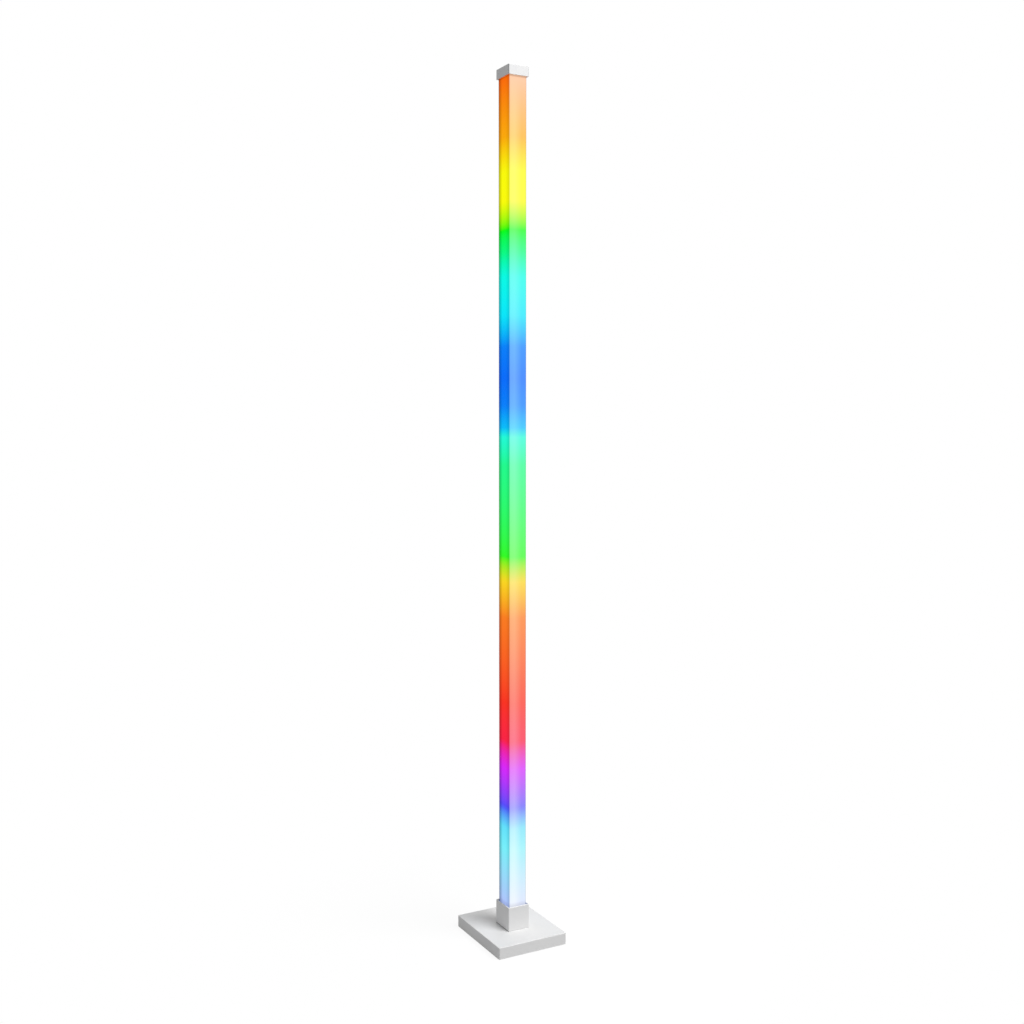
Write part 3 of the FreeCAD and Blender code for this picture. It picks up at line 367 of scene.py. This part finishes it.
# The glow's own brightness, and how much of its colour the frost reflects besides
EMISSION = 0.99
FROST_REFLECTION = 0.16


def between(share, low, high):
    """The value from low to high at a share that is held to 0..1."""
    return low + min(max(share, 0.0), 1.0) * (high - low)


def glow_stops(on_front):
    """The run's places and colours from the bottom up, on the front paled by painted light, or on the shaded
    sides.
    """
    for height, hue in reversed(GLOW):
        above_low_end = (height - GLOW_LOW) / (PALING_HEIGHT - GLOW_LOW)
        into_high_end = (height - PALE_TOP_HEIGHT) / (GLOW_HIGH - PALE_TOP_HEIGHT)
        strength = FULL_STRENGTH if height >= FULL_HEIGHT else MIDDLE_STRENGTH
        strength = between(above_low_end, LOW_STRENGTH, strength)
        channels = colorsys.hsv_to_rgb(hue / 360, strength, GLOW_BRIGHTNESS)
        if on_front:
            paleness = between(into_high_end, PALENESS, HIGH_PALENESS)
            paleness = between(above_low_end, LOW_PALENESS, paleness)
            channels = [channel + (1 - channel) * paleness for channel in channels]
        yield (height - GLOW_LOW) / (GLOW_HIGH - GLOW_LOW), from_screen(*channels)


def glowing_diffuser_painted_light_and_shade(name):
    """Frosted cover lit from inside: hue by height, with painted light paling the front and painted shade
    dimming the corners, seam, collar and cap.
    """
    s = new_material(name)
    x, y, z = s.split(s.place())
    to_right, to_back, _ = s.facing()
    height = s.spread(z, GLOW_LOW, GLOW_HIGH)
    shaded_side_colour = s.ramp(height, glow_stops(on_front=False))
    lit_front_colour = s.ramp(height, glow_stops(on_front=True))

    # Painted light: the lit front is washed towards white, over the whole front towards the column's ends
    across = s.spread(x, -POLE_HALF_WIDTH, POLE_HALF_WIDTH)
    painted_light_wash = s.ramp(across, [(place, grey(share)) for place, share in FRONT_WASH])
    top_wash = s.spread(z, TOP_WASH_FROM, GLOW_HIGH, 0.0, TOP_WASH)
    low_wash = s.spread(z, LOW_WASH_FROM, LOW_WASH_TO, 0.0, LOW_WASH)
    painted_light_wash = s.mix(s.math("MAXIMUM", top_wash, low_wash), painted_light_wash, WHITE)
    front = s.mix(painted_light_wash, shaded_side_colour, lit_front_colour)
    # Painted shade where the front turns into its right corner
    front = s.scale(front, s.spread(to_right, *TURN_TO_RIGHT, FRONT_GAIN, RIGHT_CORNER_GAIN))

    # Painted shade on the sides, near the seam and near the front corner
    painted_seam_shade = s.spread(y, SEAM_Y - SEAM_SHADE, SEAM_Y, 1.0, SEAM_GAIN)
    corner = s.spread(y, POLE_FRONT + CORNER_SHADE[1], POLE_FRONT + CORNER_SHADE[0], 1.0, CORNER_GAIN)
    side = s.scale(shaded_side_colour, s.math("MULTIPLY", painted_seam_shade, corner))

    front_share = s.spread(s.math("MULTIPLY", to_back, -1.0), *TURN_TO_FRONT)
    # Painted shade just above the collar and just below the cap; the frost is a random tone
    shade_above_collar = s.spread(z, COLLAR_HIGH, COLLAR_HIGH + COLLAR_SHADE, COLLAR_GAIN, 1.0)
    shade_below_cap = s.spread(z, CAP_LOW - CAP_SHADE[1], CAP_LOW - CAP_SHADE[0], 1.0, CAP_GAIN)
    frost = s.spread(s.noise(0.03, 4.0), 0.3, 0.7, 0.985, 1.0)
    painted_shade_and_frost = s.math("MULTIPLY", s.math("MULTIPLY", shade_above_collar, shade_below_cap), frost)
    look = s.scale(s.mix(front_share, side, front), painted_shade_and_frost)
    return s.finish(Base_Color=s.scale(look, FROST_REFLECTION), Emission_Color=look,
                    Emission_Strength=EMISSION, Roughness=0.55, Specular_IOR_Level=0.01,
                    Normal=s.bump(s.noise(4.0, 2.0), 0.01))


# The finish of each piece

PAINT_LEVEL = 0.82
NYLON = (grey(0.7, (1, 0.98, 0.9)), grey(0.74, (1, 0.98, 0.9)))
PLUG_WHITE = (grey(0.66), grey(0.7))
CHIP_BLACK = (grey(0.012), grey(0.02))
LINES_ALONG_Y = (1.0, 0.06, 1.0)
LINES_ALONG_Z = (1.0, 1.0, 0.02)

STEEL = brushed_metal("plated_steel", grey(0.50, (1.0, 1.0, 1.02)), grey(0.62), LINES_ALONG_Y)
FASTENER = brushed_metal("fastener_steel", grey(0.45), grey(0.60), (1.0, 1.0, 0.4), (0.25, 0.35), 3.0)
BLACK_OXIDE = brushed_metal("black_oxide", grey(0.05), grey(0.08), gloss=(0.35, 0.5))
ALUMINIUM = brushed_metal("satin_aluminium", grey(0.58, (1.0, 1.0, 1.01)), grey(0.70, (1.0, 1.0, 1.02)),
                          LINES_ALONG_Z, (0.32, 0.44))
NODE_MATERIALS = {
    "base_cover": painted_steel("painted_white", PAINT_LEVEL),
    # The collar's paint carries painted shade over its foot
    "pole_collar": painted_steel("collar_paint_painted_shade", PAINT_LEVEL, foot=COLLAR_LOW),
    # The cap's rounded upright corners carry painted shade
    "top_cap": moulded_plastic("cap_white", grey(0.76, (1, 1, 1.01)), grey(0.78), (0.3, 0.4), corner=0.6),
    "diffuser": glowing_diffuser_painted_light_and_shade("glowing_diffuser_painted_light_and_shade"),
    "back_channel": ALUMINIUM,
    "base_weight": cast_iron("ballast_iron"),
    "base_bottom_plate": STEEL,
    "foot_pads": rubber("foot_rubber", 0.018),
    "bottom_plate_screws": FASTENER,
    "collar_sleeve": moulded_plastic("sleeve_grey", grey(0.05), grey(0.065), (0.5, 0.65)),
    "collar_set_screws": BLACK_OXIDE,
    "collar_bolts": FASTENER,
    "collar_bolt_washers": FASTENER,
    "wire_grommet": rubber("grommet_rubber", 0.012),
    "end_plug_bottom": moulded_plastic("plug_white", *PLUG_WHITE),
    "end_plug_top": moulded_plastic("plug_white_top", *PLUG_WHITE),
    "end_plug_screws": FASTENER,
    "led_strip": printed_strip("strip_white"),
    "led_packages": light_packages("led_resin"),
    "cap_screw": FASTENER,
    "dc_inlet": moulded_plastic("inlet_black", grey(0.012), grey(0.018), (0.4, 0.55)),
    "dc_inlet_pin": brushed_metal("inlet_contact", (0.7, 0.5, 0.2, 1), (0.8, 0.6, 0.28, 1), (1.0, 0.1, 1.0)),
    "power_button": moulded_plastic("button_grey", grey(0.20), grey(0.24)),
    "button_switch": moulded_plastic("switch_black", grey(0.015), grey(0.022), (0.4, 0.5)),
    "switch_plunger": moulded_plastic("plunger_grey", grey(0.58), grey(0.63)),
    "controller_board": circuit_board("solder_mask"),
    "board_standoffs": FASTENER,
    "board_screws": FASTENER,
    "control_chip": moulded_plastic("chip_epoxy", *CHIP_BLACK, (0.45, 0.6), 0.02),
    "voltage_regulator": moulded_plastic("regulator_epoxy", *CHIP_BLACK, (0.45, 0.6), 0.02),
    "filter_capacitor": brushed_metal("capacitor_can", grey(0.5), grey(0.6), (1.0, 1.0, 0.1)),
    "radio_module": circuit_board("radio_mask"),
    "output_connector": moulded_plastic("connector_nylon", *NYLON),
    "harness_plug": moulded_plastic("plug_nylon", *NYLON),
    "pole_wires": moulded_plastic("wire_red", (0.45, 0.02, 0.015, 1), (0.5, 0.03, 0.02, 1), (0.35, 0.5)),
}
for name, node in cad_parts.items():
    node.data.materials.clear()
    node.data.materials.append(NODE_MATERIALS[name])


# Floor, background, light and camera, in metres

# The strength of the world's light; and what the camera sees of the floor near the lamp: how much of its lit
# surface, and how strong the white is that makes up the rest
AMBIENT = 0.34
FLOOR_SHADOW = 0.238
FLOOR_LIFT = 1.19
FLOOR_RADIUS = 4.0
FLOOR_CORNERS = 64
FLOOR_FADE_MM = (180.0, 480.0)

KEY_PLACE = Vector((1.15, -2.06, 3.8))
KEY_TARGET = Vector((0.0, 0.0, 0.5))
KEY_SIZE = 2.5
KEY_POWER = 154

CAMERA_AZIMUTH = math.radians(-28.645)
CAMERA_ELEVATION = math.radians(4.224)
CAMERA_DISTANCE = 1.975
CAMERA_TARGET = Vector((-0.0007, 0.0004, 0.713))
CAMERA_SENSOR_MM = 36
CAMERA_LENS_MM = 42.541
CAMERA_FAR = 50


def add_object(name, data):
    made = bpy.data.objects.new(name, data)
    bpy.context.scene.collection.objects.link(made)
    return made


def aim(thing, place, target):
    """Puts a lamp or camera at a place, looking at the target."""
    thing.location = place
    thing.rotation_euler = (target - place).to_track_quat("-Z", "Y").to_euler()


def white_background():
    """The world: plain soft light for the lamp, white where the camera or a reflection looks at it."""
    s = Nodes(bpy.data.worlds.new("studio"))
    dim = s.add("Background", {"Color": WHITE, "Strength": AMBIENT}).outputs[0]
    white = s.add("Background", {"Color": WHITE, "Strength": 1.0}).outputs[0]
    return s.close(s.mix_shaders(s.shown_directly(), dim, white), "OutputWorld")


def floor_material():
    """White to the camera, with the lamp's soft shadow, fading into the background."""
    s = new_material("pale_floor")
    x, y, _ = s.split(s.place())
    mottle = s.mix(s.noise(0.002), grey(0.41), grey(0.43))
    diffuse = s.add("BsdfDiffuse", {"Color": mottle}).outputs[0]
    white = s.add("Emission", {"Color": WHITE, "Strength": 1.0}).outputs[0]
    lift = s.add("Emission", {"Color": WHITE, "Strength": FLOOR_LIFT}).outputs[0]
    near = s.mix_shaders(FLOOR_SHADOW, lift, diffuse)
    faded = s.mix_shaders(s.spread(s.length(x, y), *FLOOR_FADE_MM), near, white)
    return s.close(s.mix_shaders(s.shown_directly(), diffuse, faded))


def round_floor():
    turns = [2 * math.pi * corner / FLOOR_CORNERS for corner in range(FLOOR_CORNERS)]
    rim = [(FLOOR_RADIUS * math.cos(turn), FLOOR_RADIUS * math.sin(turn), 0.0) for turn in turns]
    data = bpy.data.meshes.new("floor")
    data.from_pydata(rim, [], [list(range(FLOOR_CORNERS))])
    data.materials.append(floor_material())
    return add_object("floor", data)


def key_light():
    data = bpy.data.lights.new("key", "AREA")
    data.shape = "DISK"
    data.size = KEY_SIZE
    data.energy = KEY_POWER
    aim(add_object("key", data), KEY_PLACE, KEY_TARGET)


def photo_camera():
    """The camera at the photograph's viewing angle."""
    data = bpy.data.cameras.new("camera")
    data.sensor_width = CAMERA_SENSOR_MM
    data.lens = CAMERA_LENS_MM
    data.clip_end = CAMERA_FAR
    back = Vector((math.sin(CAMERA_AZIMUTH) * math.cos(CAMERA_ELEVATION),
                   -math.cos(CAMERA_AZIMUTH) * math.cos(CAMERA_ELEVATION),
                   math.sin(CAMERA_ELEVATION)))
    made = add_object("camera", data)
    aim(made, CAMERA_TARGET + CAMERA_DISTANCE * back, CAMERA_TARGET)
    return made


floor = round_floor()
key_light()
scene = bpy.context.scene
scene.world = white_background()
scene.camera = photo_camera()
scene.view_settings.view_transform = "Standard"
